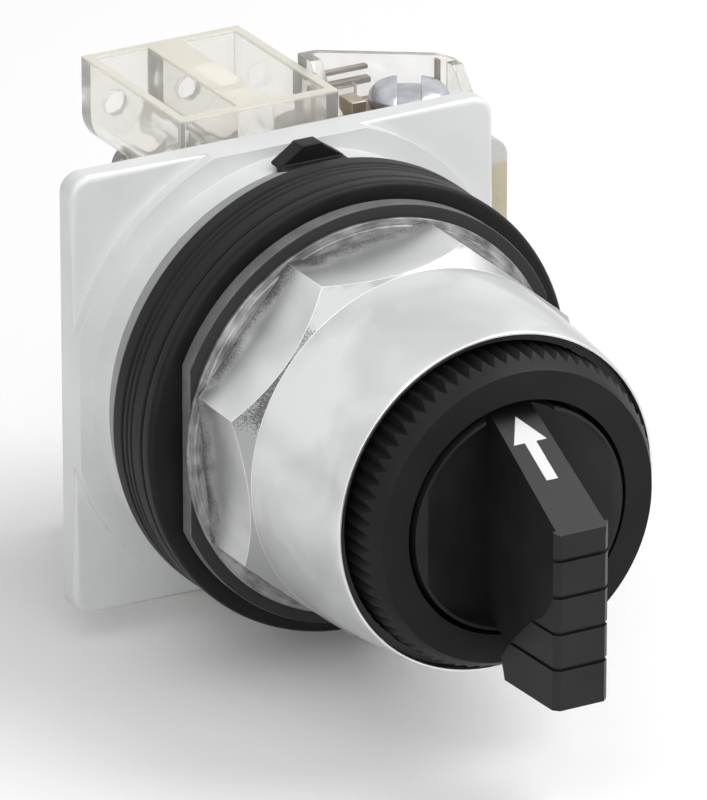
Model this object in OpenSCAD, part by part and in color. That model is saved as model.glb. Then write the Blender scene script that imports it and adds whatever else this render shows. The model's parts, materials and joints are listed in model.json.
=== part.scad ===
// Selector switch for a 30.5 mm panel opening, with two clear contact blocks behind it.
// Millimetres and degrees. Inside every module x is right, y is up and z comes out of the
// panel; z = 0 is the panel seat, the front face of the front trim washer.
// facing() turns that to the finished pose: panel plane upright, knob towards -Y.

/* [Barrel and base] */
// radius over the thread of the barrel that goes through the panel
barrel_r = 15.0; // [14.9:0.05:15.1]
// distance from the back of the base plate to the front end of the barrel
barrel_len = 37.6; // [37.2:0.1:38]
// width of the square base plate
plate_w = 43.0; // [42:0.25:44]
// height of the square base plate
plate_h = 42.1; // [41.5:0.25:43]
// thickness of the base plate
plate_t = 2.2; // [2:0.1:2.6]
// radius of the low boss on the plate, cut flush with the plate's sides
boss_r = 22.4; // [22:0.1:23]
// height of the low boss
boss_t = 1.3; // [1.1:0.1:1.6]
// radius of the neck that the rings sit on
neck_r = 20.2; // [20:0.1:20.6]
// height of the neck
neck_t = 3.0; // [2.8:0.1:3.2]

/* [Rings and washers] */
// height of the grey locating ring
locating_t = 2.6; // [2.4:0.1:2.8]
// radius of the black washers
washer_r = 21.3; // [21.1:0.1:21.5]
// thickness of the black washer with the locating tab
tab_washer_t = 1.9; // [1.7:0.1:2.1]
// thickness of each of the two thin trim washers
thin_trim_t = 0.8; // [0.7:0.1:1]
// thickness of the trim washer behind the front one
thick_trim_t = 1.8; // [1.6:0.1:2]
// thickness of the front trim washer
front_trim_t = 1.8; // [1.6:0.1:2]
// thickness of the rubber gasket
gasket_t = 1.6; // [1.4:0.1:1.8]
// thickness of the clamp washer under the nut
clamp_t = 0.5; // [0.4:0.1:0.7]

/* [Ring nut] */
// radius over the corners of the octagon
nut_corner_r = 18.45; // [18.2:0.05:18.7]
// radius of the round front part where it leaves the corners
nut_neck_r = 16.9; // [16.8:0.05:17]
// how far the nut stands in front of the barrel's end
nut_over = 2.6; // [2.4:0.1:2.8]

/* [Knob] */
// radius of the knob's disc and hub
hub_r = 10.35; // [10.2:0.05:10.4]
// how far the disc's face stands in front of the barrel's end
disc_over = 6.5; // [6.3:0.1:6.8]
// how far the lever's front face stands in front of the disc
lever_rise = 10.9; // [10.5:0.1:11.3]
// width of the lever at the disc
lever_root_w = 6.46; // [6.3:0.05:6.6]
// width of the lever at its front
lever_tip_w = 5.35; // [5.2:0.05:5.5]
// distance from the axis down to the lever's end
lever_reach = 13.5; // [13:0.25:14]

/* [Contact blocks] */
// distance between the centres of neighbouring blocks
block_pitch = 16.4; // [16.3:0.05:16.6]
// width of one block
block_w = 16.2; // [16:0.05:16.25]
// depth of a block's body behind its seat
block_depth = 15.2; // [15:0.1:15.6]
// half the height of a block's body
body_half_y = 15.8; // [15.5:0.1:16.2]
// how far the wire troughs of the centre block stand above the centre of their round floor
trough_lip = 5.2; // [5:0.1:5.5]

/* [Hidden] */
$fn = 96;
knob_swing = 45;
fit_gap = 0.06;
loose_gap = 0.15;
play = 0.3;

// Stack of rings behind the panel seat, and the back of the base plate
z_trim = -front_trim_t;
z_thick = z_trim - thick_trim_t;
z_tab = z_thick - 2 * thin_trim_t;
z_locating = z_tab - tab_washer_t;
z_neck = z_locating - locating_t;
z_boss = z_neck - neck_t;
z_plate = z_boss - boss_t;
z_back = z_plate - plate_t;
ring_bore_r = barrel_r + 0.2;
plate_corner = 1.8;
pad_t = 0.4;
clamp_front = gasket_t + clamp_t;

// Heights of the inner works, counted from the back of the base plate
cavity_top = 5.4;
web_top = 8.0;
detent_z = 24.8;
detent_t = 1.0;
flange_z = detent_z + detent_t + 0.4;
flange_t = 2.4;
flange_r = 12.6;
skirt_z = flange_z + flange_t + play;
disc_z = barrel_len + disc_over;
head_z = barrel_len + 0.2;
face_z = disc_z - 0.3;
chamber_r = 12.0;
upper_bore_r = 13.05;
bezel_bore_r = hub_r + 0.07;
bezel_gap_r = hub_r + 0.5;
seal_z = barrel_len - 2.6;
seal_t = 1.8;
seal_groove_r = 12.0;
ledge_t = 1.8;
nut_bore_r = barrel_r + 0.05;
recess_r = barrel_r + 0.5;
knurl_teeth = 72;
knurl_r = 14.65;
knurl_depth = 0.55;
key_half_w = 3.25;

// Knob
lever_top_y = 9.7;
foot_y = 9.1;
foot_z = disc_z - 0.5;
kink_y = 2.9;
kink_z = disc_z + lever_rise - 0.1;
face_tilt = atan2(kink_z - foot_z, kink_y - foot_y);
lever_z = disc_z + lever_rise;
lever_sink = disc_z - 3.1;
draft = (lever_root_w - lever_tip_w) / 2 / lever_rise;
edge_cut = 0.5;
scoop_root_x = 2.1;
scoop_root_z = disc_z - 2.2;
scoop_chord_x = 9.1;
scoop_rim_r = hub_r - 0.3;
groove_w = 0.35;
groove_deep = 0.3;
groove_y = [0.58, -2.86, -6.27, -9.62];
arrow_deep = 0.35;
pocket_r = 1.65;
pocket_top = barrel_len - 2.4;
ball_r = 1.5;
ball_z = flange_z + 1.4;
ball_y = 7.8;
detent_wire = 0.25;

// Spindle, cam and pushers
spindle_r = 3.0;
spindle_fit = spindle_r + 0.02;
spindle_z = 5.7;
spindle_top = barrel_len + 1;
cam_r = 11.6;
cam_mid = 12.2;
cam_tilt = 15.4;
cam_front = 19.6;
pin_x = block_pitch / 2;
pin_r = 2.0;
pin_ball_z = 9.75;
foot_low = 1.9;
foot_thick = 1.6;
foot_half_y = 2.6;
foot_over = 2.4;
cavity_half_y = 3.6;

// Contact blocks, depths counted back from the seat pad
block_corner = 2.0;
wall = 1.1;
tray_t = 3.0;
stem_r = 2.3;
stem_front = -2.1;
cross_d = tray_t + 1.9;
cross_t = 2.8;
boss_d = cross_d + cross_t;
boss_len = 2.0;
spring_bore_r = 1.7;
spring_seat = cross_d + 1.3;
spring_r = 1.25;
spring_wire = 0.5;
strip_t = 0.8;
bridge_t = 0.6;
contact_r = 1.0;
contact_t = 0.5;
contact_y = 4.7;
open_gap = 1.9;
fixed_d = boss_d + bridge_t + contact_t + open_gap + contact_t;
strip_end_y = 3.4;
strip_half_w = 1.5;
pole_x = 4.9;
screw_y = 10;
screw_r = 1.2;
thread_r = 1.25;
thread_deep = 3.2;
right_screw_x = 11 - block_pitch;
left_hole_x = -11;
head_r = 2.1;
head_t = 1.6;
slot_w = 0.6;
tube_r = 2.3;
inner_half_x = block_w / 2 - wall;
inner_half_y = body_half_y - wall;
roof_d = block_depth - 1.3;

// Centre block decks
trough_x = 4.5;
trough_r = 3.6;
trough_wall = 0.9;
trough_y = body_half_y + 1.6;
centre_top = trough_y + trough_lip;
deck_d0 = 2.0;
deck_d1 = block_depth + 5.6;
wire_hole_r = 1.15;
tab_y0 = 7.4;
tab_y1 = body_half_y - 2.4;
terminal_y = body_half_y - 4.9;
terminal_head_r = 2.3;

// Right block deck
deck_rear = 10.0;
shelf_y = body_half_y + 2;
deck_high = body_half_y + 7.6;
deck_low = body_half_y + 4.2;
rib_d = 7.0;
rib_t = 0.8;
rib_x = -3.6;
post_x = 0.9;
post_d = 5.4;
post_head_r = 3.7;
post_head_t = 2.0;
post_r = 1.5;
post_hole_y0 = 12;
post_hole_y1 = 30;
leg_d = 7.6;
jog_y = body_half_y - 3.6;
terminal_w = 7.6;
tongue_x0 = -6.4;

// Frames of reference

module facing() {
  rotate([90, 0, 0]) children();
}

module from_back() {
  facing() translate([0, 0, z_back]) children();
}

module behind(x) {
  from_back() translate([x, 0, -pad_t]) mirror([0, 0, 1]) children();
}

module both_ways_y() {
  children();
  mirror([0, 1, 0]) children();
}

// Shared shapes

module rod(r, z0, z1) {
  translate([0, 0, z0]) cylinder(r = r, h = z1 - z0);
}

module ring(r_out, r_in, z0, z1) {
  difference() {
    rod(r_out, z0, z1);
    rod(r_in, z0 - 1, z1 + 1);
  }
}

module box(x0, x1, y0, y1, z0, z1) {
  translate([x0, y0, z0]) cube([x1 - x0, y1 - y0, z1 - z0]);
}

// an outline drawn in (y, z) and run along x from x0 to x1
module along_x(points, x0, x1) {
  translate([x0, 0, 0]) rotate([90, 0, 90]) linear_extrude(x1 - x0) polygon(points);
}

// an outline drawn in (x, z) and run along y from y0 to y1
module along_y(points, y0, y1) {
  translate([0, y1, 0]) rotate([90, 0, 0]) linear_extrude(y1 - y0) polygon(points);
}

module turned(points) {
  rotate_extrude() polygon(points);
}

// a washer whose outer edges are broken by e
module washer(r_out, r_in, z0, z1, e) {
  turned([[r_in, z0], [r_out - e, z0], [r_out, z0 + e], [r_out, z1 - e], [r_out - e, z1],
    [r_in, z1]]);
}

// an open coil of round wire, swept as one closed skin
module coil(r, wire, length, turns) {
  per_turn = 18;
  sides = 8;
  rings = per_turn * turns;
  rise = length - wire;
  skin = [for (i = [0:rings]) for (j = [0:sides - 1])
    let (a = i * 360 / per_turn, b = j * 360 / sides, q = r + wire / 2 * cos(b))
    [q * cos(a), q * sin(a), wire / 2 + rise * i / rings + wire / 2 * sin(b)]];
  quads = [for (i = [0:rings - 1]) for (j = [0:sides - 1])
    let (k = (j + 1) % sides)
    [i * sides + j, (i + 1) * sides + j, (i + 1) * sides + k, i * sides + k]];
  near_cap = [for (j = [0:sides - 1]) j];
  far_cap = [for (j = [0:sides - 1]) rings * sides + sides - 1 - j];
  polyhedron(skin, concat(quads, [near_cap, far_cap]));
}

// the keying tab at twelve o'clock: its foot lies in the locating ring's notch, and its upright
// part stands behind the washer, clear of the neck
module key_tab() {
  foot_y0 = neck_r - 1.3;
  foot_y1 = neck_r + 0.4;
  top = neck_r + 2;
  half_w = key_half_w;
  crown = 1.0;
  upright_front = z_locating - 1.8;
  upright_back = z_neck - 1.0;
  intersection() {
    along_x([[foot_y0, z_locating + 0.5], [foot_y1, z_locating + 0.5], [foot_y1, upright_front],
      [top, upright_front], [top, upright_back], [neck_r + 0.1, upright_back],
      [neck_r + 0.1, z_neck + 0.1], [foot_y0, z_neck + 0.1]], -half_w - 1, half_w + 1);
    translate([0, 0, upright_back]) linear_extrude(z_tab - upright_back) {
      polygon([[-half_w, foot_y0], [half_w, foot_y0], [half_w, foot_y1],
        [crown + 0.3, top - 0.3], [crown, top], [-crown, top], [-crown - 0.3, top - 0.3],
        [-half_w, foot_y1]]);
    }
  }
}

// Base, rings and nut

module seat_pad(x0, x1) {
  box(x0, x1, -15, 15, -pad_t, 0.5);
}

// a rectangle about the axis with round corners
module rounded(w, h, corner) {
  square([w - 2 * corner, h], center = true);
  square([w, h - 2 * corner], center = true);
  for (x = [-1, 1]) for (y = [-1, 1])
    translate([x * (w / 2 - corner), y * (h / 2 - corner)]) circle(r = corner);
}

module operator_base() {
  pad_reach = 21;
  color("gainsboro") from_back() difference() {
    union() {
      linear_extrude(plate_t) rounded(plate_w, plate_h, plate_corner);
      intersection() {
        rod(boss_r, plate_t - 0.5, plate_t + boss_t);
        box(-plate_w / 2, plate_w / 2, -plate_h / 2, plate_h / 2, 0, 9);
      }
      rod(neck_r, plate_t, plate_t + boss_t + neck_t);
      rod(barrel_r, plate_t, barrel_len);
      seat_pad(-pad_reach, -block_w / 2 - 0.5);
      seat_pad(play - block_w / 2, block_w / 2 - play);
      seat_pad(block_w / 2 + 0.4, pad_reach);
    }
    box(-pin_x - foot_over - 0.4, block_pitch + foot_over + 0.3, -cavity_half_y,
      cavity_half_y, -1, cavity_top);
    for (x = [-pin_x, pin_x]) translate([x, 0, 0]) rod(pin_r + fit_gap, 0, web_top + 1);
    rod(spindle_fit, 0, web_top + 1);
    rod(chamber_r, web_top, barrel_len + 1);
    rod(upper_bore_r, detent_z, barrel_len + 1);
    for (x = [left_hole_x, 0, -left_hole_x]) for (y = [-screw_y, screw_y])
      translate([x, y, 0]) rod(thread_r, -1, thread_deep);
  }
}

module locating_ring() {
  notch_half_w = key_half_w + loose_gap;
  color("darkgray") facing() difference() {
    turned([[ring_bore_r, z_neck], [neck_r, z_neck], [washer_r - 0.1, z_locating],
      [ring_bore_r, z_locating]]);
    box(-notch_half_w, notch_half_w, neck_r - 1.5, washer_r + 1, z_neck - 1, z_locating + 1);
  }
}

module tab_washer() {
  color("dimgray") facing() {
    washer(washer_r, ring_bore_r, z_locating, z_tab, 0.2);
    key_tab();
  }
}

module trim_washer(z0, z1) {
  color("dimgray") facing() washer(washer_r - 0.05, ring_bore_r, z0, z1, 0.15);
}

module trim_washer_1() {
  trim_washer(z_tab, z_tab + thin_trim_t);
}

module trim_washer_2() {
  trim_washer(z_tab + thin_trim_t, z_thick);
}

module trim_washer_3() {
  trim_washer(z_thick, z_trim);
}

module front_trim_washer() {
  color("black") facing() washer(washer_r, ring_bore_r, z_trim, 0, 0.35);
}

module panel_gasket() {
  flat_half = 18.1;
  gasket_r = washer_r - 1.55;
  color("dimgray") facing() intersection() {
    ring(gasket_r, ring_bore_r, 0, gasket_t);
    box(-flat_half, flat_half, -gasket_r, gasket_r, -1, gasket_t + 1);
  }
}

module clamp_washer() {
  rim_r = 18.6;
  step_r = rim_r - 0.7;
  color("gray") facing() turned([[ring_bore_r, gasket_t], [rim_r, gasket_t],
    [rim_r, clamp_front - 0.12], [step_r, clamp_front - 0.12], [step_r, clamp_front],
    [ring_bore_r, clamp_front]]);
}

module ring_nut() {
  turn = 5.2 + 22.5;
  front = z_back + barrel_len + nut_over;
  barrel_front = z_back + barrel_len;
  cone_low = clamp_front + 6.1;
  cone_high = clamp_front + 8.4;
  slope = (nut_corner_r - nut_neck_r) / (cone_high - cone_low);
  stock_r = nut_corner_r + 0.6;
  lip_r = recess_r + 0.2;
  color("silver") facing() intersection() {
    rotate([0, 0, turn]) translate([0, 0, clamp_front])
      cylinder(r = nut_corner_r, h = front, $fn = 8);
    turned([[nut_bore_r, clamp_front], [stock_r, clamp_front],
      [stock_r, cone_low - 0.6 / slope], [nut_neck_r, cone_high],
      [nut_neck_r - 0.15, cone_high + 3.5], [nut_neck_r - 0.45, cone_high + 7.5],
      [nut_neck_r - 0.9, front - 1.6], [lip_r + 0.15, front - 0.5], [lip_r, front],
      [recess_r, front], [recess_r, barrel_front], [nut_bore_r, barrel_front]]);
  }
}

module shroud_seal() {
  color("black") from_back()
    ring(recess_r - 0.1, knurl_r + 0.1, barrel_len, barrel_len + ledge_t);
}

module retaining_ring() {
  tip_r = knurl_r - knurl_depth;
  star = [for (i = [0:2 * knurl_teeth - 1])
    let (r = i % 2 == 0 ? knurl_r : tip_r, a = i * 180 / knurl_teeth)
    [r * cos(a), r * sin(a)]];
  color("dimgray") from_back() difference() {
    union() {
      rod(upper_bore_r - 0.05, skirt_z, head_z + 0.5);
      intersection() {
        turned([[0, head_z], [knurl_r + 1, head_z], [knurl_r + 1, barrel_len + 2.5],
          [knurl_r - 1.15, face_z], [0, face_z]]);
        translate([0, 0, head_z]) linear_extrude(face_z - head_z) polygon(star);
      }
    }
    rod(bezel_bore_r, skirt_z - 1, face_z + 1);
    rod(bezel_gap_r, face_z - 3.6, face_z + 1);
    rod(seal_groove_r, seal_z, seal_z + seal_t);
  }
}

module hub_seal() {
  color("black") from_back()
    ring(seal_groove_r - 0.05, bezel_bore_r, seal_z + 0.1, seal_z + seal_t - 0.1);
}

// Knob and what turns with it

function lever_half(z) = lever_root_w / 2 - (z - disc_z) * draft;

// the lever's section across x, drawn in (x, z), pulled in by cut on its sides and front
function lever_section(cut, low) = [
  [-lever_half(low) + cut, low], [lever_half(low) - cut, low],
  [lever_half(lever_z - edge_cut) - cut, lever_z - edge_cut - cut],
  [lever_half(lever_z) - edge_cut - cut, lever_z - cut],
  [-lever_half(lever_z) + edge_cut + cut, lever_z - cut],
  [-lever_half(lever_z - edge_cut) + cut, lever_z - edge_cut - cut]];

module lever_blank() {
  intersection() {
    along_y(lever_section(0, lever_sink), -20, 20);
    along_x([[lever_top_y, lever_sink], [lever_top_y, lever_z], [-lever_reach, lever_z],
      [-lever_reach, disc_z + 2.9], [-10.1, disc_z + 1.9], [-10.1, lever_sink]], -9, 9);
  }
}

// the finger scoop's part on the lever's side: above the slanted lower edge only
module lever_scoop() {
  top = lever_z - 0.65;
  intersection() {
    along_y([[scoop_root_x, scoop_root_z], [lever_half(top) - 0.3, top], [7, top],
      [7, scoop_root_z]], -20, 20);
    along_x([[13, scoop_root_z - 1], [-12.8, scoop_root_z - 1], [-12.8, disc_z + 1.4],
      [-9.62, disc_z + 3.7], [-6.5, disc_z + 6.9], [-5.2, disc_z + 8.9], [-3.7, disc_z + 10],
      [-2, disc_z + 10.4], [13, disc_z + 10.4]], -9, 9);
  }
}

module disc_scoop() {
  slope = (disc_z - scoop_root_z) / (scoop_chord_x - scoop_root_x);
  intersection() {
    along_y([[scoop_root_x, scoop_root_z], [12, scoop_root_z + slope * (12 - scoop_root_x)],
      [12, disc_z + 3], [scoop_root_x, disc_z + 3]], -20, 20);
    rod(scoop_rim_r, scoop_root_z - 1, disc_z + 2);
  }
}

module lever_grooves() {
  for (y = groove_y) difference() {
    box(-6, 6, y - groove_w / 2, y + groove_w / 2, disc_z + 1.9, lever_z + 1);
    along_y(lever_section(groove_deep, lever_sink), -20, 20);
  }
}

// sloping top face, which runs on down through the disc's rim
module slope_cut() {
  run = (kink_z - foot_z) / (kink_y - foot_y);
  along_x([[11, foot_z + run * (11 - foot_y)], [kink_y, kink_z], [2, lever_z],
    [2, lever_z + 5], [11, lever_z + 5]], -3.42, 3.42);
}

module arrow_outline() {
  tip = -0.4;
  head_l = 3.0;
  head_half = 1.65;
  shaft_half = 0.575;
  end = 6.9;
  polygon([[0, tip], [head_half, tip + head_l], [shaft_half, tip + head_l],
    [shaft_half, end], [-shaft_half, end], [-shaft_half, tip + head_l],
    [-head_half, tip + head_l]]);
}

module on_slope() {
  translate([0, foot_y, foot_z]) rotate([face_tilt, 0, 0]) children();
}

module selector_knob() {
  color("dimgray") from_back() difference() {
    union() {
      rod(flange_r, flange_z, flange_z + flange_t);
      difference() {
        rod(hub_r, flange_z, disc_z);
        disc_scoop();
        mirror([1, 0, 0]) disc_scoop();
      }
      difference() {
        lever_blank();
        lever_scoop();
        mirror([1, 0, 0]) lever_scoop();
        lever_grooves();
      }
    }
    slope_cut();
    on_slope() translate([0, 0, -1]) linear_extrude(arrow_deep + 1) arrow_outline();
    rod(spindle_fit, flange_z - 1, spindle_top + 0.2);
    for (y = [-ball_y, ball_y]) translate([0, y, 0]) rod(pocket_r, flange_z - 1, pocket_top);
  }
}

module pointer_arrow() {
  color("white") from_back() intersection() {
    on_slope() linear_extrude(arrow_deep) arrow_outline();
    rod(hub_r - 0.05, 0, lever_z);
  }
}

module knob_spindle() {
  color("silver") from_back() rod(spindle_r, spindle_z, spindle_top);
}

module rotary_cam() {
  rise = 14 * tan(cam_tilt);
  color("white") from_back() difference() {
    rod(cam_r, web_top + 0.5, cam_front);
    along_x([[-14, 0], [14, 0], [14, cam_mid + rise], [-14, cam_mid - rise]], -14, 14);
    rod(spindle_fit, 0, cam_front + 1);
  }
}

module detent_plate() {
  dimple_r = 1.8;
  color("silver") from_back() difference() {
    ring(upper_bore_r - loose_gap, spindle_r + play, detent_z, detent_z + detent_t);
    for (a = [-knob_swing, 0, knob_swing]) for (s = [0, 180]) rotate([0, 0, a + s])
      translate([0, ball_y, detent_z + detent_t + dimple_r - 0.3]) sphere(r = dimple_r);
  }
}

module detent_balls() {
  color("silver") from_back() for (y = [-ball_y, ball_y])
    translate([0, y, ball_z]) sphere(r = ball_r);
}

module detent_springs() {
  color("silver") from_back() for (y = [-ball_y, ball_y])
    translate([0, y, ball_z + ball_r])
      coil(1.2, 0.5, pocket_top - ball_z - ball_r - 0.05, 5);
}

module pusher(pin, x0, x1) {
  color("white") from_back() {
    box(x0 - foot_over, x1 + foot_over, -foot_half_y, foot_half_y, foot_low,
      foot_low + foot_thick);
    translate([pin, 0, 0]) {
      rod(pin_r, foot_low + foot_thick / 2, pin_ball_z);
      translate([0, 0, pin_ball_z]) sphere(r = pin_r);
    }
  }
}

module left_pusher() {
  pusher(-pin_x, -pin_x, 0);
}

module right_pusher() {
  pusher(pin_x, pin_x, block_pitch);
}

// Contact blocks: d runs back from the seat pad

module block_tray(screw_x) {
  difference() {
    linear_extrude(tray_t) rounded(block_w, 2 * body_half_y, block_corner);
    rod(stem_r + fit_gap, -1, tray_t + 1);
    for (y = [-screw_y, screw_y]) translate([screw_x, y, 0])
      rod(screw_r + loose_gap, -1, tray_t + 1);
  }
}

module block_shell() {
  difference() {
    translate([0, 0, tray_t]) linear_extrude(block_depth - tray_t)
      rounded(block_w, 2 * body_half_y, block_corner);
    box(-inner_half_x, inner_half_x, -inner_half_y, inner_half_y, tray_t - 1, roof_d);
  }
}

module screw_tubes(screw_x) {
  for (y = [-screw_y, screw_y]) translate([screw_x, y, 0]) rod(tube_r, tray_t, roof_d + 0.5);
}

module screw_bores(screw_x) {
  for (y = [-screw_y, screw_y]) translate([screw_x, y, 0])
    rod(screw_r + loose_gap, tray_t - 1, block_depth + 1);
}

module plunger(half_x) {
  color("white") difference() {
    union() {
      rod(stem_r, stem_front, cross_d + 1);
      box(-half_x, half_x, -1.8, 1.8, cross_d, boss_d);
      rod(stem_r, cross_d, boss_d + boss_len);
    }
    rod(spring_bore_r, spring_seat, boss_d + boss_len + 1);
  }
}

module plunger_spring() {
  color("silver") translate([0, 0, spring_seat])
    coil(spring_r, spring_wire, roof_d - spring_seat, 6);
}

module contact_pair(x, d0) {
  color("lightgray") for (y = [-contact_y, contact_y]) translate([x, y, 0])
    rod(contact_r, d0, d0 + contact_t);
}

module slotted_head(r, t, deep) {
  difference() {
    rod(r, 0, t);
    box(-r - 1, r + 1, -slot_w / 2, slot_w / 2, t - deep, t + 1);
  }
}

// Centre block

module trough_outer() {
  translate([trough_x, trough_y]) circle(r = trough_r);
  translate([trough_x - trough_r, trough_y]) square([2 * trough_r, centre_top - trough_y]);
}

module trough_inner() {
  r = trough_r - trough_wall;
  translate([trough_x, trough_y]) circle(r = r);
  translate([trough_x - r, trough_y]) square([2 * r, centre_top - trough_y + 1]);
}

module deck() {
  rib = trough_x - trough_r + 0.5;
  difference() {
    union() {
      for (s = [0, 1]) mirror([s, 0, 0]) translate([0, 0, deck_d0])
        linear_extrude(deck_d1 - deck_d0) trough_outer();
      box(-rib, rib, trough_y - trough_r + 0.1, centre_top, deck_d0, deck_d1);
    }
    box(-block_w, block_w, 0, body_half_y, 0, tray_t);
  }
}

module trough_cuts() {
  end_wall = 1.0;
  for (s = [0, 1]) mirror([s, 0, 0]) {
    translate([0, 0, tray_t]) linear_extrude(deck_d1 - end_wall - tray_t) trough_inner();
    translate([trough_x, trough_y + 0.3, 0]) rod(wire_hole_r, deck_d1 - 2, deck_d1 + 1);
  }
}

module centre_block_base() {
  color("wheat") behind(0) block_tray(0);
}

module centre_block_cover() {
  color("wheat") behind(0) difference() {
    union() {
      block_shell();
      both_ways_y() deck();
      screw_tubes(0);
      for (x = [-pole_x, pole_x]) for (y = [-terminal_y, terminal_y]) translate([x, y, 0])
        rod(1.9, roof_d - 1.6, roof_d + 0.5);
    }
    screw_bores(0);
    both_ways_y() trough_cuts();
    for (x = [-pole_x, pole_x]) for (y = [-1, 1]) {
      translate([x, y * terminal_y, 0]) rod(thread_r, roof_d - 2, block_depth + 1);
      translate([x, y * (tab_y0 + strip_t / 2), 0])
        box(-1.6, 1.6, -strip_t / 2 - 0.1, strip_t / 2 + 0.1, roof_d - 1, block_depth + 1);
    }
  }
}

module centre_plunger() {
  behind(0) plunger(6.4);
}

module centre_plunger_spring() {
  behind(0) plunger_spring();
}

module centre_bridge(x) {
  color("peru") behind(0) box(x - 1.2, x + 1.2, -5.8, 5.8, boss_d, boss_d + bridge_t);
}

module centre_bridge_left() {
  centre_bridge(-pole_x);
}

module centre_bridge_right() {
  centre_bridge(pole_x);
}

module centre_bridge_contacts() {
  behind(0) for (x = [-pole_x, pole_x]) contact_pair(x, boss_d + bridge_t);
}

module centre_fixed_contacts() {
  behind(0) for (x = [-pole_x, pole_x]) contact_pair(x, fixed_d - contact_t);
}

module centre_fixed_strips() {
  rear = block_depth + strip_t;
  color("peru") behind(0) both_ways_y() for (x = [-pole_x, pole_x]) difference() {
    along_x([[strip_end_y, fixed_d], [tab_y0 + strip_t, fixed_d],
      [tab_y0 + strip_t, block_depth], [tab_y1, block_depth], [tab_y1, rear], [tab_y0, rear],
      [tab_y0, fixed_d + strip_t], [strip_end_y, fixed_d + strip_t]],
      x - strip_half_w, x + strip_half_w);
    translate([x, terminal_y, 0]) rod(thread_r, block_depth - 1, rear + 1);
  }
}

module centre_terminal_screws() {
  rear = block_depth + strip_t;
  color("silver") behind(0) for (x = [-pole_x, pole_x]) for (y = [-terminal_y, terminal_y])
    translate([x, y, 0]) {
      rod(screw_r, roof_d - 1.4, rear + 0.2);
      translate([0, 0, rear]) rotate([0, 0, 35]) slotted_head(terminal_head_r, head_t, 0.8);
    }
}

// Right block

module right_block_base() {
  color("wheat") behind(block_pitch) block_tray(right_screw_x);
}

module post_hole() {
  translate([post_x, 0, post_d]) rotate([-90, 0, 0])
    rod(post_r + 0.02, post_hole_y0, post_hole_y1);
}

// the slot in the block that the strip's leg comes up through
module leg_slot(y0, y1) {
  box(post_x - strip_half_w - 0.1, post_x + strip_half_w + 0.1, y0, y1, leg_d - 0.1,
    leg_d + strip_t + 0.1);
}

module right_deck() {
  half = block_w / 2;
  shelf_x1 = 5.5;
  shelf_d0 = 0.9;
  low = body_half_y - 0.4;
  difference() {
    union() {
      box(-half, shelf_x1, low, shelf_y, shelf_d0, deck_rear);
      along_x([[low, tray_t], [body_half_y, tray_t + 0.4], [shelf_y, 6.2],
        [deck_low, 8.2], [deck_low, deck_rear], [low, deck_rear]], half - wall, half);
      box(shelf_x1 - 1, half, low, shelf_y - 1, tray_t + 2, deck_rear);
      along_x([[low, shelf_d0], [shelf_y, shelf_d0], [deck_high - 2.6, 5.6],
        [deck_high, 7.6], [deck_high, deck_rear], [low, deck_rear]], -half, wall - half);
      translate([0, 0, deck_rear - rib_t]) linear_extrude(rib_t)
        polygon([[-half, low], [half, low], [half, deck_low], [6.3, deck_low + 0.8],
          [-6.3, deck_high], [-half, deck_high]]);
      box(-half, rib_x, low, shelf_y + 2.8, rib_d, rib_d + rib_t);
    }
    box(-half - 1, half + 1, 0, body_half_y, -1, tray_t);
    post_hole();
    leg_slot(low - 2, shelf_y + strip_t + 0.1);
  }
}

module right_block_cover() {
  color("ivory") behind(block_pitch) difference() {
    union() {
      block_shell();
      both_ways_y() right_deck();
      screw_tubes(right_screw_x);
    }
    screw_bores(right_screw_x);
    both_ways_y() leg_slot(inner_half_y - 1, body_half_y + 1);
  }
}

module right_plunger() {
  behind(block_pitch) plunger(3.2);
}

module right_plunger_spring() {
  behind(block_pitch) plunger_spring();
}

module right_bridge() {
  color("peru") behind(block_pitch) difference() {
    box(-3, 3, -6, 6, boss_d, boss_d + bridge_t);
    rod(stem_r + 0.1, boss_d - 1, boss_d + 2);
  }
}

module right_bridge_contacts() {
  behind(block_pitch) contact_pair(post_x, boss_d + bridge_t);
}

module right_fixed_contacts() {
  behind(block_pitch) contact_pair(post_x, fixed_d - contact_t);
}

module right_strip() {
  top = shelf_y + strip_t;
  color("peru") behind(block_pitch) {
    along_x([[strip_end_y, fixed_d], [jog_y, fixed_d], [jog_y, leg_d], [top, leg_d],
      [top, leg_d + strip_t], [jog_y + strip_t, leg_d + strip_t],
      [jog_y + strip_t, fixed_d + strip_t], [strip_end_y, fixed_d + strip_t]],
      post_x - strip_half_w, post_x + strip_half_w);
    difference() {
      union() {
        box(post_x + 3.8 - terminal_w, post_x + 3.8, shelf_y, top, 2, leg_d + 0.4);
        box(tongue_x0, post_x, shelf_y, top, 2, rib_d - 0.2);
      }
      post_hole();
    }
    box(tongue_x0, tongue_x0 + 1.5, shelf_y, shelf_y + 2.8, 2.9, 5.4);
  }
}

module right_strip_top() {
  right_strip();
}

module right_strip_bottom() {
  mirror([0, 0, 1]) right_strip();
}

module right_terminal_screw() {
  top = shelf_y + strip_t;
  slot_half = 1.1;
  color("silver") translate([post_x, 0, post_d]) rotate([-90, 0, 0]) {
    rod(post_r, body_half_y + 0.3, top + 0.3);
    difference() {
      turned([[0, top], [post_head_r, top], [post_head_r, top + 0.8],
        [post_head_r - 0.5, top + 1.4], [post_head_r - 1.6, top + 1.85],
        [0, top + post_head_t]]);
      rotate([0, 0, -60.7]) box(-6, 6, -slot_half, slot_half, top + 0.4, top + 4);
    }
  }
}

module right_terminal_screws() {
  behind(block_pitch) both_ways_y() right_terminal_screw();
}

module block_screws() {
  color("silver") for (x = [0, block_pitch + right_screw_x]) behind(x)
    for (y = [-screw_y, screw_y]) translate([0, y, 0]) {
      rod(screw_r, pad_t - thread_deep, block_depth + 0.2);
      translate([0, 0, block_depth]) rotate([0, 0, 20]) slotted_head(head_r, head_t, 0.8);
    }
}

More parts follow.
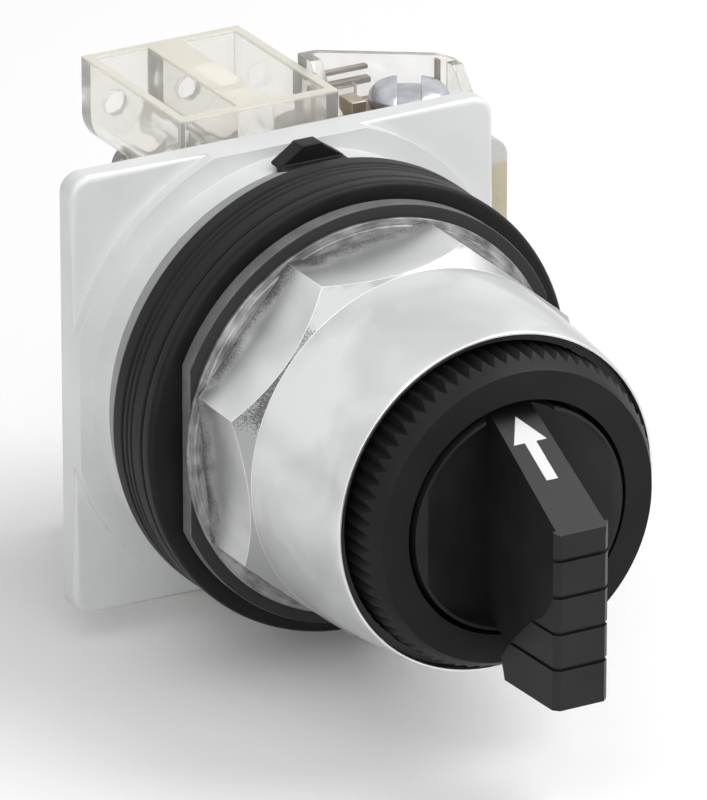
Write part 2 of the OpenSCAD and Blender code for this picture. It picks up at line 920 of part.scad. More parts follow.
operator_base();
locating_ring();
tab_washer();
trim_washer_1();
trim_washer_2();
trim_washer_3();
front_trim_washer();
panel_gasket();
clamp_washer();
ring_nut();
shroud_seal();
retaining_ring();
hub_seal();
selector_knob();
pointer_arrow();
knob_spindle();
rotary_cam();
detent_plate();
detent_balls();
detent_springs();
left_pusher();
right_pusher();
centre_block_base();
centre_block_cover();
centre_plunger();
centre_plunger_spring();
centre_bridge_left();
centre_bridge_right();
centre_bridge_contacts();
centre_fixed_strips();
centre_fixed_contacts();
centre_terminal_screws();
right_block_base();
right_block_cover();
right_plunger();
right_plunger_spring();
right_bridge();
right_bridge_contacts();
right_strip_top();
right_strip_bottom();
right_fixed_contacts();
right_terminal_screws();
block_screws();
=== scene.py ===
"""Looks for the selector switch: eased edges, finishes, studio and camera.

Lengths are written in millimetres in the switch's own axes: x right, y up and z out of the
panel, with z = 0 at the panel seat. spot() turns them to metres in the frame.
"""

import json
import math

import bmesh
import bpy
from mathutils import Matrix, Vector

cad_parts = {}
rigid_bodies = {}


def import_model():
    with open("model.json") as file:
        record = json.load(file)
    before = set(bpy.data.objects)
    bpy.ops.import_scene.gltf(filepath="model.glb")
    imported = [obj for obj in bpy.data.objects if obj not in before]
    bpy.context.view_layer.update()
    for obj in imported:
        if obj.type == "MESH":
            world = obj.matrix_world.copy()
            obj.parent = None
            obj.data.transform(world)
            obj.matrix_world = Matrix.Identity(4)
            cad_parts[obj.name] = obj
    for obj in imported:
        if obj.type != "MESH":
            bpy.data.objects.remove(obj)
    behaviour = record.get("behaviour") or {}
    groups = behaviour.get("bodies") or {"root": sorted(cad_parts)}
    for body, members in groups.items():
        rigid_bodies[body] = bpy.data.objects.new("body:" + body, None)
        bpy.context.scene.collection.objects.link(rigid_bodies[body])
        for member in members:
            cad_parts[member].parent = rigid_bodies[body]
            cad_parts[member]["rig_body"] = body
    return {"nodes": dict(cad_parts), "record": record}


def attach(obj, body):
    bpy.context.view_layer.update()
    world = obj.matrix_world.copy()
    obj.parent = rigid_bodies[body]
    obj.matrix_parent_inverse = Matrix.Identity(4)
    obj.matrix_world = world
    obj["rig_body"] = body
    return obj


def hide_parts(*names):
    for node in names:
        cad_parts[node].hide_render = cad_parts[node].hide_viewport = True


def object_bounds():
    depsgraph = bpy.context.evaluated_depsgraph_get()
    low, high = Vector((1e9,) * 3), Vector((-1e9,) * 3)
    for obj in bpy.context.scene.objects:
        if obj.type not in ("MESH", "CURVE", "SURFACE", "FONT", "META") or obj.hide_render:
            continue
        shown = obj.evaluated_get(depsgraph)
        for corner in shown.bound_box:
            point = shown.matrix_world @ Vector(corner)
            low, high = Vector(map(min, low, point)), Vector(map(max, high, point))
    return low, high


MM = 0.001
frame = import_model()
cad_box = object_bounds()
BODY_OF = {node: obj["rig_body"] for node, obj in frame["nodes"].items()}
SLOT_OF = {part["node"]: part["material_slot"] for part in frame["record"]["subparts"]}

# Places along the axis, in mm in front of the panel seat
PLATE_FRONT = -14.0
CLAMP_FRONT = 2.1
CONE_HIGH = 10.5

# Direction, in degrees about the axis, of the speckled side of the nut, and how far to either
# side of it the speckle is thick and then gone
SPECKLE_AT = 147
SPECKLE_THICK = 13
SPECKLE_GONE = 27

# Half sizes of the square plate, its corner radius and the radius of its soft front rim
PLATE_HALF_W = 21.5
PLATE_HALF_H = 21.05
PLATE_CORNER = 1.8
PLATE_SOFT = 0.6

# Heights above or below the axis where the troughs' milky rims start and the tray's amber ends,
# and half the height over which one finish fades into the next
RIM_FROM = 22.4
AMBER_UP_TO = 13.3
FADE = 0.15

# An edge is hard where its faces meet at more than this many degrees, and a point is on a
# surface when it is nearer than this many mm
SHARP = 28
NEAR = 0.03

# Points nearer than WELD mm are one point, faces within FLAT degrees are one face, and CRUMB mm
# is the size of the slivers that a wide rounding leaves
WELD = 0.002
FLAT = 0.6
CRUMB = 0.01


def spot(x, y, z):
    """A place in the switch's own millimetres, as metres in the frame."""
    return Vector((x, -z, y)) * MM


# Meshes


def keep(mesh_maker, name, node):
    """Puts a finished bmesh in the scene as a piece that stands for a CAD node."""
    mesh = bpy.data.meshes.new(name)
    mesh_maker.to_mesh(mesh)
    mesh_maker.free()
    piece = bpy.data.objects.new(name, mesh)
    bpy.context.scene.collection.objects.link(piece)
    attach(piece, BODY_OF[node])
    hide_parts(node)
    return piece


def bake(piece):
    """Applies the piece's modifiers to its mesh."""
    graph = bpy.context.evaluated_depsgraph_get()
    done = bpy.data.meshes.new_from_object(piece.evaluated_get(graph), depsgraph=graph)
    piece.modifiers.clear()
    old = piece.data
    piece.data = done
    bpy.data.meshes.remove(old)


def on_plate_rim(edge):
    """True for an edge of the outline around the front of the plate."""
    for vert in edge.verts:
        x, y, z = abs(vert.co.x) / MM, abs(vert.co.z) / MM, -vert.co.y / MM
        corner_x, corner_y = PLATE_HALF_W - PLATE_CORNER, PLATE_HALF_H - PLATE_CORNER
        on_side = max(x - PLATE_HALF_W, y - PLATE_HALF_H) > -NEAR
        in_corner = min(x - corner_x, y - corner_y) > -NEAR
        on_arc = abs(math.hypot(x - corner_x, y - corner_y) - PLATE_CORNER) < 2 * NEAR
        if abs(z - PLATE_FRONT) > NEAR or not (on_side or (in_corner and on_arc)):
            return False
    return True


def eased(node, width, finish_main, finish_edge=None, soft=None, soft_width=0.0):
    """A copy of a CAD solid whose hard edges are rounded by width, as a mould or tool leaves
    them. The edges that soft picks are rounded by soft_width first. finish_edge, where one is
    given, goes on the rounded edges."""
    work = bmesh.new()
    work.from_mesh(frame["nodes"][node].data)
    bmesh.ops.remove_doubles(work, verts=work.verts, dist=WELD * MM)
    bmesh.ops.dissolve_limit(
        work, angle_limit=math.radians(FLAT), verts=work.verts, edges=work.edges
    )
    if soft:
        rim = [
            edge
            for edge in work.edges
            if len(edge.link_faces) == 2
            and edge.calc_face_angle() > math.radians(SHARP)
            and soft(edge)
        ]
        bmesh.ops.bevel(
            work,
            geom=rim,
            offset=soft_width * MM,
            segments=4,
            profile=0.5,
            affect="EDGES",
            clamp_overlap=False,
        )
        bmesh.ops.remove_doubles(work, verts=work.verts, dist=2 * CRUMB * MM)
        bmesh.ops.dissolve_degenerate(work, dist=CRUMB * MM, edges=work.edges)
    piece = keep(work, node + "_finish", node)
    piece.data.materials.append(finish_main)
    bevel = piece.modifiers.new("ease", "BEVEL")
    bevel.width = width * MM
    bevel.segments = 2
    bevel.limit_method = "ANGLE"
    bevel.angle_limit = math.radians(SHARP)
    bevel.use_clamp_overlap = True
    if finish_edge:
        piece.data.materials.append(finish_edge)
        bevel.material = 1
    bevel.miter_outer = "MITER_ARC"
    for face in piece.data.polygons:
        face.use_smooth = True
    weight = piece.modifiers.new("flat_faces", "WEIGHTED_NORMAL")
    weight.weight = 100
    weight.keep_sharp = True
    bake(piece)


# Materials: one function for each finish


def linear(code):
    """An sRGB hex colour as the linear RGBA that Blender's sockets take."""
    parts = [int(code[i : i + 2], 16) / 255 for i in (1, 3, 5)]
    return tuple(c / 12.92 if c <= 0.04045 else ((c + 0.055) / 1.055) ** 2.4 for c in parts) + (1,)


def add(tree, kind, inputs=None, **settings):
    """Adds a node, with its settings and with values or links for its inputs."""
    node = tree.nodes.new(kind)
    for name, value in settings.items():
        setattr(node, name, value)
    for name, value in (inputs or {}).items():
        if isinstance(value, bpy.types.NodeSocket):
            tree.links.new(value, node.inputs[name])
        else:
            node.inputs[name].default_value = value
    return node


def finish(name):
    """A new material, its tree and its shader."""
    material = bpy.data.materials.new(name)
    material.use_nodes = True
    tree = material.node_tree
    return material, tree, tree.nodes["Principled BSDF"]


def per_mm(size):
    """Texture scale for a pattern whose features are this many mm across."""
    return 1 / (size * MM)


def shades(tree, amount, low, high, low_at, high_at):
    """The colour that goes from low to high as amount goes from low_at to high_at."""
    ramp = add(tree, "ShaderNodeValToRGB", {"Fac": amount})
    start, end = ramp.color_ramp.elements
    start.position, start.color = low_at, linear(low)
    end.position, end.color = high_at, linear(high)
    return ramp.outputs["Color"]


def cast_zinc():
    """Die-cast zinc under a milky clear lacquer: pale, cloudy and only softly shiny."""
    material, tree, shader = finish("cast_zinc")
    place = add(tree, "ShaderNodeTexCoord").outputs["Object"]
    cloud = add(tree, "ShaderNodeTexNoise", {"Vector": place, "Scale": per_mm(9), "Detail": 4})
    tint = shades(tree, cloud.outputs["Fac"], "#D1D2D2", "#DBDCDC", 0.3, 0.7)
    grain = add(tree, "ShaderNodeTexNoise", {"Vector": place, "Scale": per_mm(0.5), "Detail": 3})
    bump = add(
        tree,
        "ShaderNodeBump",
        {"Height": grain.outputs["Fac"], "Strength": 0.12, "Distance": 0.05 * MM},
    )
    tree.links.new(tint, shader.inputs["Base Color"])
    tree.links.new(bump.outputs["Normal"], shader.inputs["Normal"])
    shader.inputs["Roughness"].default_value = 0.42
    shader.inputs["Metallic"].default_value = 0.1
    shader.inputs["IOR"].default_value = 1.5
    shader.inputs["Coat Weight"].default_value = 0.3
    shader.inputs["Coat Roughness"].default_value = 0.25
    return material


def moulded(name, dark, light, rough, grain_mm, depth_mm, gloss=0.5, strength=0.25):
    """Moulded plastic or rubber: two close shades in soft clouds and a fine spark-eroded grain."""
    material, tree, shader = finish(name)
    place = add(tree, "ShaderNodeTexCoord").outputs["Object"]
    cloud = add(tree, "ShaderNodeTexNoise", {"Vector": place, "Scale": per_mm(5), "Detail": 5})
    tint = shades(tree, cloud.outputs["Fac"], dark, light, 0.32, 0.68)
    grain = add(
        tree, "ShaderNodeTexNoise", {"Vector": place, "Scale": per_mm(grain_mm), "Detail": 2}
    )
    bump = add(
        tree,
        "ShaderNodeBump",
        {"Height": grain.outputs["Fac"], "Strength": strength, "Distance": depth_mm * MM},
    )
    sheen = add(
        tree,
        "ShaderNodeMapRange",
        {"Value": cloud.outputs["Fac"], "To Min": rough - 0.05, "To Max": rough + 0.06},
    )
    tree.links.new(tint, shader.inputs["Base Color"])
    tree.links.new(bump.outputs["Normal"], shader.inputs["Normal"])
    tree.links.new(sheen.outputs["Result"], shader.inputs["Roughness"])
    shader.inputs["IOR"].default_value = 1.5
    shader.inputs["Specular IOR Level"].default_value = gloss
    return material


def plated_nut():
    """Satin nickel-chrome plate over brass: smooth grey flats and front, a coarse dark speckle on
    the corner cones where the blank kept its skin, and painted shade where the flats meet the
    black
    washer: ragged dark bands that stand in for the washer's shade and dark reflection."""
    material, tree, shader = finish("satin_chrome_plate")
    coord = add(tree, "ShaderNodeTexCoord")
    place = coord.outputs["Object"]
    part = add(tree, "ShaderNodeSeparateXYZ", {"Vector": place})
    facing = add(tree, "ShaderNodeSeparateXYZ", {"Vector": coord.outputs["Normal"]})
    out = add(tree, "ShaderNodeMath", {0: part.outputs["Y"], 1: -1 / MM}, operation="MULTIPLY")
    behind_cone = add(
        tree,
        "ShaderNodeMapRange",
        {"Value": out.outputs[0], "From Min": CONE_HIGH + 0.3, "From Max": CONE_HIGH - 0.1},
    )
    # the corner cones lean forward and the flats don't
    lean = add(
        tree,
        "ShaderNodeMapRange",
        {"Value": facing.outputs["Y"], "From Min": -0.3, "From Max": -0.42},
    )
    cone = add(
        tree,
        "ShaderNodeMath",
        {0: behind_cone.outputs["Result"], 1: lean.outputs["Result"]},
        operation="MULTIPLY",
    )
    waves = add(
        tree,
        "ShaderNodeTexNoise",
        {"Vector": place, "Scale": per_mm(9), "Detail": 2, "Distortion": 0.6},
    )
    patch = add(
        tree, "ShaderNodeTexNoise", {"Vector": place, "Scale": per_mm(4.5), "Detail": 3}
    )
    pits = add(
        tree, "ShaderNodeTexNoise", {"Vector": place, "Scale": per_mm(0.12), "Detail": 2}
    )
    # speckle: thick at one side of the nut only, where the blank was never cleaned up
    angle = add(
        tree,
        "ShaderNodeMath",
        {0: part.outputs["Z"], 1: part.outputs["X"]},
        operation="ARCTAN2",
    )
    away = add(
        tree,
        "ShaderNodeMath",
        {0: angle.outputs[0], 1: math.radians(SPECKLE_AT)},
        operation="SUBTRACT",
    )
    apart = add(tree, "ShaderNodeMath", {0: away.outputs[0]}, operation="ABSOLUTE")
    thinning = add(
        tree,
        "ShaderNodeMapRange",
        {
            "Value": apart.outputs[0],
            "From Min": math.radians(SPECKLE_THICK),
            "From Max": math.radians(SPECKLE_GONE),
            "To Min": 0.08,
            "To Max": -0.4,
        },
    )
    thick = add(
        tree,
        "ShaderNodeMath",
        {0: patch.outputs["Fac"], 1: 0.9, 2: thinning.outputs["Result"]},
        operation="MULTIPLY_ADD",
    )
    spots = add(
        tree,
        "ShaderNodeMath",
        {0: pits.outputs["Fac"], 1: thick.outputs[0]},
        operation="ADD",
    )
    speck = add(
        tree,
        "ShaderNodeMapRange",
        {"Value": spots.outputs[0], "From Min": 0.9, "From Max": 1.06, "To Max": 0.85},
    )
    dirt = add(
        tree,
        "ShaderNodeMath",
        {0: speck.outputs["Result"], 1: cone.outputs[0]},
        operation="MULTIPLY",
    )
    # painted shade: dark bands at the washer end of the flats, up to 3 mm long and ragged along
    # their front edge, standing in for the black washer's shade and reflection on the chrome
    reach = add(
        tree,
        "ShaderNodeMath",
        {0: patch.outputs["Fac"], 1: 9.0, 2: -3.2},
        operation="MULTIPLY_ADD",
    )
    depth = add(
        tree,
        "ShaderNodeMath",
        {0: out.outputs[0], 1: CLAMP_FRONT},
        operation="SUBTRACT",
    )
    inside = add(
        tree,
        "ShaderNodeMath",
        {0: reach.outputs[0], 1: depth.outputs[0]},
        operation="SUBTRACT",
    )
    ragged = add(
        tree,
        "ShaderNodeMath",
        {0: pits.outputs["Fac"], 1: 5.0, 2: inside.outputs[0]},
        operation="MULTIPLY_ADD",
    )
    painted_shade_band = add(
        tree,
        "ShaderNodeMapRange",
        {"Value": ragged.outputs[0], "From Min": 1.9, "From Max": 4.2, "To Max": 0.9},
    )
    low_end = add(
        tree,
        "ShaderNodeMapRange",
        {"Value": depth.outputs[0], "From Min": 3.2, "From Max": 1.6},
    )
    # painted shade, fading out away from the washer
    painted_washer_shade = add(
        tree,
        "ShaderNodeMath",
        {0: painted_shade_band.outputs["Result"], 1: low_end.outputs["Result"]},
        operation="MULTIPLY",
    )
    # the speckle and the painted shade by the washer, together
    speckle_and_painted_shade = add(
        tree,
        "ShaderNodeMath",
        {0: dirt.outputs[0], 1: painted_washer_shade.outputs[0]},
        operation="MAXIMUM",
    )
    tone = shades(tree, waves.outputs["Fac"], "#CBCCCC", "#E0E1E1", 0.36, 0.64)
    cones = add(
        tree,
        "ShaderNodeMix",
        {"Factor": cone.outputs[0], 6: tone, 7: linear("#A8A9A9")},
        data_type="RGBA",
    )
    # the speckle and the painted shade darken the plate here
    speckled_and_painted_shade = add(
        tree,
        "ShaderNodeMix",
        {"Factor": speckle_and_painted_shade.outputs[0], 6: cones.outputs[2], 7: linear("#525253")},
        data_type="RGBA",
    )
    rough = add(
        tree,
        "ShaderNodeMapRange",
        {"Value": speckle_and_painted_shade.outputs[0], "To Min": 0.3, "To Max": 0.55},
    )
    skin = add(
        tree, "ShaderNodeTexNoise", {"Vector": place, "Scale": per_mm(0.7), "Detail": 2}
    )
    satin = add(
        tree,
        "ShaderNodeBump",
        {"Height": skin.outputs["Fac"], "Strength": 0.08, "Distance": 0.03 * MM},
    )
    pitted = add(
        tree,
        "ShaderNodeBump",
        {
            "Height": speckle_and_painted_shade.outputs[0],
            "Strength": 0.5,
            "Distance": 0.06 * MM,
            "Normal": satin.outputs["Normal"],
        },
    )
    tree.links.new(speckled_and_painted_shade.outputs[2], shader.inputs["Base Color"])
    tree.links.new(rough.outputs["Result"], shader.inputs["Roughness"])
    tree.links.new(pitted.outputs["Normal"], shader.inputs["Normal"])
    shader.inputs["Metallic"].default_value = 1
    return material


def cut_rubber():
    """Gasket punched from rubber sheet: a dark moulded face and a paler, dusty cut edge."""
    material, tree, shader = finish("punched_rubber")
    coord = add(tree, "ShaderNodeTexCoord")
    facing = add(tree, "ShaderNodeSeparateXYZ", {"Vector": coord.outputs["Normal"]})
    side = add(
        tree,
        "ShaderNodeMapRange",
        {"Value": facing.outputs["Y"], "From Min": -0.75, "From Max": -0.45},
    )
    dust = add(
        tree,
        "ShaderNodeTexNoise",
        {"Vector": coord.outputs["Object"], "Scale": per_mm(2), "Detail": 4},
    )
    pale = shades(tree, dust.outputs["Fac"], "#626262", "#747474", 0.3, 0.7)
    tone = add(
        tree,
        "ShaderNodeMix",
        {"Factor": side.outputs["Result"], 6: linear("#2A2A2A"), 7: pale},
        data_type="RGBA",
    )
    tree.links.new(tone.outputs[2], shader.inputs["Base Color"])
    shader.inputs["Roughness"].default_value = 0.65
    shader.inputs["IOR"].default_value = 1.5
    shader.inputs["Specular IOR Level"].default_value = 0.25
    return material


def painted_highlight_edge():
    """Chrome on the nut's rounded edges, with a painted highlight: a brighter colour that draws
    the thin bright lines between its faces.
    """
    material, _, shader = finish("chrome_edge_painted_highlight")
    shader.inputs["Base Color"].default_value = linear("#F4F4F4")
    shader.inputs["Roughness"].default_value = 0.35
    shader.inputs["Metallic"].default_value = 1
    return material


def rough_steel():
    """Stamped steel washer, scuffed round and round by the nut: dull grey with streaks and
    scrapes that follow the turn."""
    material, tree, shader = finish("scuffed_steel")
    place = add(tree, "ShaderNodeTexCoord").outputs["Object"]
    part = add(tree, "ShaderNodeSeparateXYZ", {"Vector": place})
    flat = add(
        tree, "ShaderNodeCombineXYZ", {"X": part.outputs["X"], "Z": part.outputs["Z"]}
    )
    radius = add(
        tree, "ShaderNodeVectorMath", {0: flat.outputs["Vector"]}, operation="LENGTH"
    )
    angle = add(
        tree,
        "ShaderNodeMath",
        {0: part.outputs["Z"], 1: part.outputs["X"]},
        operation="ARCTAN2",
    )
    across = add(
        tree, "ShaderNodeMath", {0: radius.outputs["Value"], 1: 2.6 / MM}, operation="MULTIPLY"
    )
    along = add(tree, "ShaderNodeMath", {0: angle.outputs[0], 1: 5.5}, operation="MULTIPLY")
    streak = add(
        tree, "ShaderNodeCombineXYZ", {"X": across.outputs[0], "Y": along.outputs[0]}
    )
    scrapes = add(
        tree,
        "ShaderNodeTexNoise",
        {"Vector": streak.outputs["Vector"], "Scale": 1.0, "Detail": 5, "Roughness": 0.7},
    )
    blot = add(
        tree, "ShaderNodeTexNoise", {"Vector": place, "Scale": per_mm(2.2), "Detail": 4}
    )
    both = add(
        tree,
        "ShaderNodeMath",
        {0: scrapes.outputs["Fac"], 1: blot.outputs["Fac"]},
        operation="ADD",
    )
    half = add(tree, "ShaderNodeMath", {0: both.outputs[0], 1: 0.5}, operation="MULTIPLY")
    tone = shades(tree, half.outputs[0], "#6A6A6A", "#B0B0B0", 0.4, 0.62)
    bump = add(
        tree,
        "ShaderNodeBump",
        {"Height": scrapes.outputs["Fac"], "Strength": 0.3, "Distance": 0.08 * MM},
    )
    tree.links.new(tone, shader.inputs["Base Color"])
    tree.links.new(bump.outputs["Normal"], shader.inputs["Normal"])
    shader.inputs["Roughness"].default_value = 0.5
    shader.inputs["Metallic"].default_value = 0.7
    return material


def plated(name, low, high, rough):
    """Plated or bare strip metal: a fine drawn grain and faint cloudy tarnish."""
    material, tree, shader = finish(name)
    place = add(tree, "ShaderNodeTexCoord").outputs["Object"]
    cloud = add(tree, "ShaderNodeTexNoise", {"Vector": place, "Scale": per_mm(2.5), "Detail": 4})
    tone = shades(tree, cloud.outputs["Fac"], low, high, 0.35, 0.65)
    drawn = add(tree, "ShaderNodeMapping", {"Vector": place, "Scale": (6, 1, 1)})
    grain = add(
        tree,
        "ShaderNodeTexNoise",
        {"Vector": drawn.outputs["Vector"], "Scale": per_mm(0.9), "Detail": 3},
    )
    bump = add(
        tree,
        "ShaderNodeBump",
        {"Height": grain.outputs["Fac"], "Strength": 0.15, "Distance": 0.03 * MM},
    )
    tree.links.new(tone, shader.inputs["Base Color"])
    tree.links.new(bump.outputs["Normal"], shader.inputs["Normal"])
    shader.inputs["Roughness"].default_value = rough
    shader.inputs["Metallic"].default_value = 1
    return material


def beyond(tree, place, reach):
    """1 where a point is more than reach mm above or below the axis, and 0 nearer to it."""
    part = add(tree, "ShaderNodeSeparateXYZ", {"Vector": place})
    height = add(tree, "ShaderNodeMath", {0: part.outputs["Z"]}, operation="ABSOLUTE")
    step = add(
        tree,
        "ShaderNodeMapRange",
        {
            "Value": height.outputs[0],
            "From Min": (reach - FADE) * MM,
            "From Max": (reach + FADE) * MM,
        },
    )
    return step.outputs["Result"]


def clear_moulding(name, low, high, haze, clarity, bend=1.35, pale_above=None, rim_above=None):
    """Clear polycarbonate, a little cloudy from age: see-through walls that also scatter a share
    of the light in their own pale colour, with faint flow waves from the mould. Beyond pale_above,
    in mm above or below the axis, the tint gives way to white. Beyond rim_above are the ends of
    the walls, which are milky."""
    material, tree, shader = finish(name)
    place = add(tree, "ShaderNodeTexCoord").outputs["Object"]
    flow = add(
        tree,
        "ShaderNodeTexNoise",
        {"Vector": place, "Scale": per_mm(4.5), "Detail": 3, "Distortion": 0.8},
    )
    tint = shades(tree, flow.outputs["Fac"], low, high, 0.35, 0.65)
    bump = add(
        tree,
        "ShaderNodeBump",
        {"Height": flow.outputs["Fac"], "Strength": 0.15, "Distance": 0.2 * MM},
    )
    if pale_above:
        mixed = add(
            tree,
            "ShaderNodeMix",
            {"Factor": beyond(tree, place, pale_above), 6: tint, 7: linear("#F8F7F4")},
            data_type="RGBA",
        )
        tint = mixed.outputs[2]
    if rim_above:
        rim = beyond(tree, place, rim_above)
        milky = add(
            tree,
            "ShaderNodeMix",
            {"Factor": rim, 6: tint, 7: linear("#EDE9DB")},
            data_type="RGBA",
        )
        tint = milky.outputs[2]
        clear = add(
            tree, "ShaderNodeMapRange", {"Value": rim, "To Min": clarity, "To Max": 0.3}
        )
        tree.links.new(clear.outputs["Result"], shader.inputs["Transmission Weight"])
    tree.links.new(tint, shader.inputs["Base Color"])
    tree.links.new(bump.outputs["Normal"], shader.inputs["Normal"])
    shader.inputs["Roughness"].default_value = haze
    shader.inputs["IOR"].default_value = bend
    shader.inputs["Transmission Weight"].default_value = clarity
    return material


FINISHES = {
    "base_casting": cast_zinc(),
    "grey_plastic": moulded("grey_polyester", "#858687", "#929395", 0.42, 0.35, 0.03),
    "black_washer": moulded("black_phenolic", "#101010", "#181818", 0.45, 0.3, 0.03, 0.16),
    "seal_rubber": moulded("dark_rubber", "#333333", "#3E3E3E", 0.6, 0.4, 0.04, 0.25),
    "dull_steel": rough_steel(),
    "nut_chrome": plated_nut(),
    "knob_plastic": moulded("black_nylon", "#171718", "#1F1F20", 0.4, 0.3, 0.03, 0.25),
    "white_inlay": moulded("white_inlay", "#D0D0CF", "#D8D8D7", 0.4, 0.3, 0.02),
    "cam_plastic": moulded("natural_acetal", "#DEDCD2", "#E8E6DD", 0.38, 0.4, 0.02),
    "contact_silver": plated("silver_tip", "#C4C4C0", "#DCDCD8", 0.3),
    "bronze_strip": plated("phosphor_bronze", "#AC9E8E", "#C9BCAB", 0.34),
    "amber_clear": clear_moulding(
        "cream_polycarbonate", "#FBF9F4", "#FEFDFB", 0.05, 0.84, rim_above=RIM_FROM
    ),
    "clear_plastic": clear_moulding("clear_polycarbonate", "#F6F5F2", "#FCFBF9", 0.03, 0.88),
    "plated_steel": plated("zinc_plated_steel", "#AEB2B8", "#CDD1D6", 0.28),
}

# Pieces whose finish differs from the rest of their slot, and finishes for rounded edges
TINTED = {
    "right_block_base": clear_moulding(
        "amber_polycarbonate", "#EBE0BE", "#F4ECD4", 0.16, 0.42, pale_above=AMBER_UP_TO
    ),
    "panel_gasket": cut_rubber(),
    "retaining_ring": moulded("dull_black_nylon", "#0F0F10", "#171718", 0.5, 0.3, 0.03, 0.18),
}
EDGES = {
    # the nut's rounded edges carry a painted highlight
    "ring_nut": painted_highlight_edge(),
    "centre_block_cover": clear_moulding("cream_edge", "#E6E0CC", "#F0ECDE", 0.2, 0.3),
    "centre_block_base": clear_moulding("tan_edge", "#C9BF9E", "#D8CFB2", 0.2, 0.35),
    "right_block_cover": clear_moulding("smoky_edge", "#BDB6AD", "#D2CCC4", 0.15, 0.45),
}

# How far each piece's edges are rounded, in mm
EASE = {
    "operator_base": 0.14,
    "locating_ring": 0.2,
    "tab_washer": 0.18,
    "trim_washer_1": 0.1,
    "trim_washer_2": 0.1,
    "trim_washer_3": 0.1,
    "front_trim_washer": 0.2,
    "panel_gasket": 0.15,
    "clamp_washer": 0.06,
    "ring_nut": 0.22,
    "retaining_ring": 0.12,
    "selector_knob": 0.16,
    "pointer_arrow": 0.03,
    "centre_block_base": 0.25,
    "centre_block_cover": 0.22,
    "right_block_base": 0.25,
    "right_block_cover": 0.16,
    "centre_fixed_strips": 0.08,
    "right_strip_top": 0.08,
    "right_strip_bottom": 0.08,
    "right_bridge": 0.08,
    "centre_bridge_left": 0.08,
    "centre_bridge_right": 0.08,
    "right_terminal_screws": 0.12,
    "centre_terminal_screws": 0.1,
    "block_screws": 0.1,
    "centre_plunger": 0.12,
    "right_plunger": 0.12,
    "left_pusher": 0.12,
    "right_pusher": 0.12,
    "rotary_cam": 0.2,
}

for node, cad in frame["nodes"].items():
    main = TINTED.get(node, FINISHES[SLOT_OF[node]])
    cad.data.materials.clear()
    cad.data.materials.append(main)
    if node == "operator_base":
        eased(node, EASE[node], main, soft=on_plate_rim, soft_width=PLATE_SOFT)
    elif node in EASE:
        eased(node, EASE[node], main, EDGES.get(node))

# Moulded ridges on the front of the right block's rear wall, top and bottom: x, y and z ranges

SMOKY = clear_moulding("smoky_ridge", "#A0978E", "#B8B0A7", 0.15, 0.4)
RIDGES = {
    "upper": ((9.4, 14.8), (21.2, 21.55), (-25.85, -25.2)),
    "lower": ((10.0, 15.0), (19.9, 20.4), (-25.85, -25.0)),
    "upright": ((22.1, 22.4), (17.85, 20.6), (-25.85, -25.2)),
}


def ridge(name, xs, ys, zs):
    """A thin square ridge of clear plastic that belongs to the right block's cover."""
    work = bmesh.new()
    bmesh.ops.create_cube(work, size=1)
    size = [abs(span[1] - span[0]) for span in (xs, zs, ys)]
    bmesh.ops.scale(work, vec=Vector(size) * MM, verts=work.verts)
    middle = spot(sum(xs) / 2, sum(ys) / 2, sum(zs) / 2)
    bmesh.ops.translate(work, vec=middle, verts=work.verts)
    mesh = bpy.data.meshes.new(name)
    work.to_mesh(mesh)
    work.free()
    mesh.materials.append(SMOKY)
    piece = bpy.data.objects.new(name, mesh)
    bpy.context.scene.collection.objects.link(piece)
    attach(piece, BODY_OF["right_block_cover"])


for label, (xs, ys, zs) in RIDGES.items():
    ridge("right_block_ridge_" + label + "_top", xs, ys, zs)
    ridge("right_block_ridge_" + label + "_bottom", xs, [-y for y in ys], zs)

# Camera, fitted to the photograph's circles and edges

AZIMUTH = math.radians(-29.29)
ELEVATION = math.radians(22.81)
DISTANCE = 897.7
SIDEWAYS = -6.14
UPWARDS = 3.92
SENSOR = 36.0
PHOTO_HEIGHT = 800
FOCUS_PX = 9993
SIGHT_M = 20

back = Vector(
    (
        math.sin(AZIMUTH) * math.cos(ELEVATION),
        -math.cos(AZIMUTH) * math.cos(ELEVATION),
        math.sin(ELEVATION),
    )
)
right = Vector((0, 0, 1)).cross(back).normalized()
up = back.cross(right)
eye = spot(0, 0, PLATE_FRONT) + (back * DISTANCE - right * SIDEWAYS - up * UPWARDS) * MM
camera = bpy.data.objects.new("camera", bpy.data.cameras.new("camera"))
bpy.context.scene.collection.objects.link(camera)
bpy.context.scene.camera = camera
camera.matrix_world = Matrix.Translation(eye) @ Matrix((right, up, back)).transposed().to_4x4()
camera.data.sensor_fit = "VERTICAL"
camera.data.sensor_height = SENSOR
camera.data.lens = FOCUS_PX * SENSOR / PHOTO_HEIGHT
camera.data.clip_end = SIGHT_M

# Studio


def lamp(name, place, size, watts):
    """A soft square lamp, in metres, turned to the switch."""
    light = bpy.data.lights.new(name, "AREA")
    light.shape = "SQUARE"
    light.size = size
    light.energy = watts
    holder = bpy.data.objects.new(name, light)
    bpy.context.scene.collection.objects.link(holder)
    holder.location = place
    holder.rotation_euler = (-Vector(place)).to_track_quat("-Z", "Y").to_euler()


lamp("key", (-0.25, -0.45, 0.75), 1.1, 3.9)
lamp("fill", (-0.45, -0.65, 0.12), 0.8, 2.1)
lamp("top", (0.5, -0.2, 0.66), 0.6, 5.2)


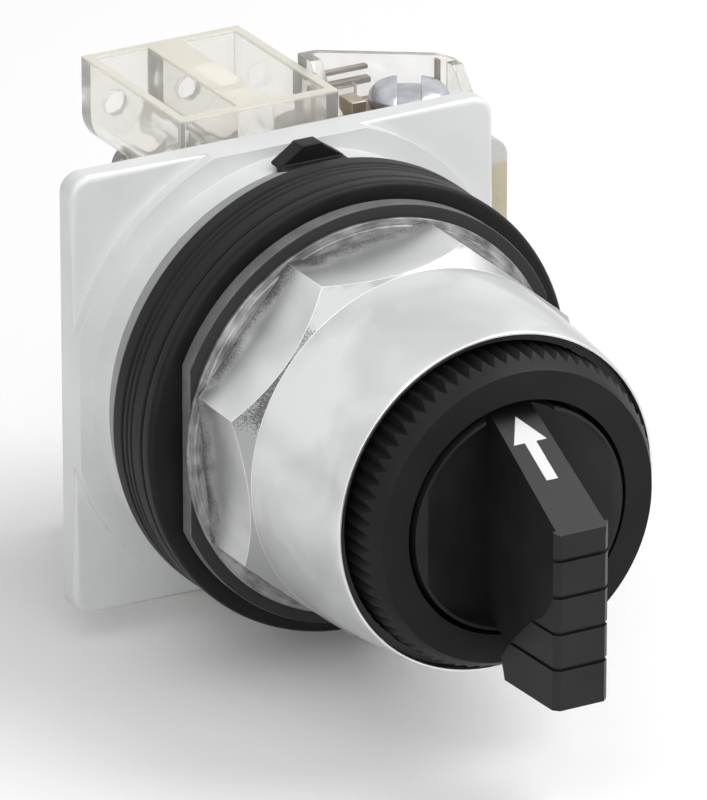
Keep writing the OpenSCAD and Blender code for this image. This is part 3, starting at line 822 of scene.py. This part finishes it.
def looked_at(tree):
    """1 for what the camera sees, straight or by a reflection or through clear plastic."""
    rays = add(tree, "ShaderNodeLightPath")
    seen = add(
        tree,
        "ShaderNodeMath",
        {0: rays.outputs["Is Camera Ray"], 1: rays.outputs["Is Glossy Ray"]},
        operation="MAXIMUM",
    )
    shown = add(
        tree,
        "ShaderNodeMath",
        {0: seen.outputs[0], 1: rays.outputs["Is Transmission Ray"]},
        operation="MAXIMUM",
    )
    return shown.outputs[0]


world = bpy.data.worlds.new("studio")
bpy.context.scene.world = world
world.use_nodes = True
sky = world.node_tree
sky.nodes.clear()
level = add(sky, "ShaderNodeMapRange", {"Value": looked_at(sky), "To Min": 0.36, "To Max": 1.0})
white = add(
    sky,
    "ShaderNodeBackground",
    {"Color": (1, 1, 1, 1), "Strength": level.outputs["Result"]},
)
add(sky, "ShaderNodeOutputWorld", {"Surface": white.outputs["Background"]})


def pale_floor():
    """Seamless white paper, matt, which keeps the switch's soft shadow."""
    material, tree, shader = finish("white_paper")
    lifted = add(
        tree,
        "ShaderNodeMapRange",
        {"Value": looked_at(tree), "To Min": 0.0, "To Max": 0.05},
    )
    shader.inputs["Base Color"].default_value = linear("#F2F2F2")
    shader.inputs["Roughness"].default_value = 0.9
    shader.inputs["Specular IOR Level"].default_value = 0
    shader.inputs["Emission Color"].default_value = (1, 1, 1, 1)
    tree.links.new(lifted.outputs["Result"], shader.inputs["Emission Strength"])
    return material


# The floor reaches this many metres each way, and lies this many mm below the switch
FLOOR_REACH = 3
FLOOR_GAP = 0.2

floor_maker = bmesh.new()
bmesh.ops.create_grid(floor_maker, x_segments=1, y_segments=1, size=FLOOR_REACH)
floor_mesh = bpy.data.meshes.new("floor")
floor_maker.to_mesh(floor_mesh)
floor_maker.free()
floor = bpy.data.objects.new("floor", floor_mesh)
bpy.context.scene.collection.objects.link(floor)
floor.location = (0, 0, cad_box[0][2] - FLOOR_GAP * MM)
floor.data.materials.append(pale_floor())

bpy.context.scene.view_settings.view_transform = "Standard"
